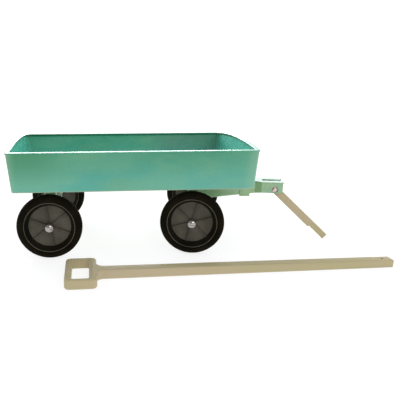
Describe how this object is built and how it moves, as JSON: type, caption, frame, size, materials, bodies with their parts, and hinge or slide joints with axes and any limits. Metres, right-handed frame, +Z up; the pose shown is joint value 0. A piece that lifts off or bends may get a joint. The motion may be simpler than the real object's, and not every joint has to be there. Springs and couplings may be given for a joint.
{
  "type": "garden cart",
  "caption": "Pull-along garden cart: flared plastic tub on small wheels, turntable front axle, hinged tongue and a separate long pull handle.",
  "frame": {"origin": "on the ground, under the middle of the bounding box at rest", "axes": "+X is forward along the tub, +Y is the cart's left, +Z is up"},
  "size_m": [0.9116, 0.5344, 0.2803],
  "materials": {
    "tub_plastic": "satin",
    "chassis_plastic": "satin",
    "handle_plastic": "satin",
    "wheel_plastic": "matte",
    "tyre_rubber": "matte",
    "chrome_caps": "polished",
    "zinc_steel": "zinc plated",
    "nylon": "matte"
  },
  "bodies": {
    "cart": {"tub": "tub_plastic", "rear_bolster": "chassis_plastic", "rear_bolster_bolts": "zinc_steel", "rear_bolster_nuts": "zinc_steel", "rear_axle": "zinc_steel", "rear_axle_straps": "zinc_steel", "rear_strap_screws": "zinc_steel", "rear_axle_spacers": "nylon", "rear_axle_washers": "zinc_steel", "rear_axle_caps": "chrome_caps", "turntable_plate": "zinc_steel", "turntable_screws": "zinc_steel", "kingpin_bolt": "zinc_steel", "kingpin_washers": "zinc_steel", "kingpin_nut": "zinc_steel"},
    "steering": {"front_bolster": "chassis_plastic", "turntable_washer": "nylon", "front_axle": "zinc_steel", "front_axle_straps": "zinc_steel", "front_strap_screws": "zinc_steel", "front_axle_spacers": "nylon", "front_axle_washers": "zinc_steel", "front_axle_caps": "chrome_caps", "steering_arm": "chassis_plastic", "drawbar_fork": "chassis_plastic", "fork_screws": "zinc_steel", "clevis_bolt": "zinc_steel", "clevis_washers": "zinc_steel", "clevis_nut": "zinc_steel"},
    "tongue_link": {"tongue": "handle_plastic", "tongue_bush": "nylon"},
    "handle": {"pull_handle": "handle_plastic"},
    "rear_right_wheel": {"rear_right_tyre": "tyre_rubber", "rear_right_disc": "wheel_plastic", "rear_right_bush": "nylon"},
    "rear_left_wheel": {"rear_left_tyre": "tyre_rubber", "rear_left_disc": "wheel_plastic", "rear_left_bush": "nylon"},
    "front_right_wheel": {"front_right_tyre": "tyre_rubber", "front_right_disc": "wheel_plastic", "front_right_bush": "nylon"},
    "front_left_wheel": {"front_left_tyre": "tyre_rubber", "front_left_disc": "wheel_plastic", "front_left_bush": "nylon"}
  },
  "joints": [
    {"name": "steering_turn", "type": "hinge", "parent": "cart", "child": "steering", "pos_m": [0.03071, 0.08223, 0.1426], "axis": [0, 0, 1], "range_deg": [-30.5, 55.5]},
    {"name": "tongue_lift", "type": "hinge", "parent": "steering", "child": "tongue_link", "pos_m": [0.24647, 0.03439, 0.1422], "axis": [-0.2164, -0.9763, 0], "range_deg": [0, 130]},
    {"name": "handle_pick_up", "type": "slide", "parent": "cart", "child": "handle", "axis": [0, 0, 1], "range_m": [0, 0.3]},
    {"name": "rear_right_spin", "type": "hinge", "parent": "cart", "child": "rear_right_wheel", "pos_m": [-0.36129, -0.07477, 0.081], "axis": [0, 1, 0], "continuous": true},
    {"name": "rear_left_spin", "type": "hinge", "parent": "cart", "child": "rear_left_wheel", "pos_m": [-0.36129, 0.23922, 0.081], "axis": [0, 1, 0], "continuous": true},
    {"name": "front_right_spin", "type": "hinge", "parent": "steering", "child": "front_right_wheel", "pos_m": [-0.00328, -0.07105, 0.081], "axis": [0.2164, 0.9763, 0], "continuous": true},
    {"name": "front_left_spin", "type": "hinge", "parent": "steering", "child": "front_left_wheel", "pos_m": [0.06469, 0.2355, 0.081], "axis": [0.2164, 0.9763, 0], "continuous": true}
  ]
}
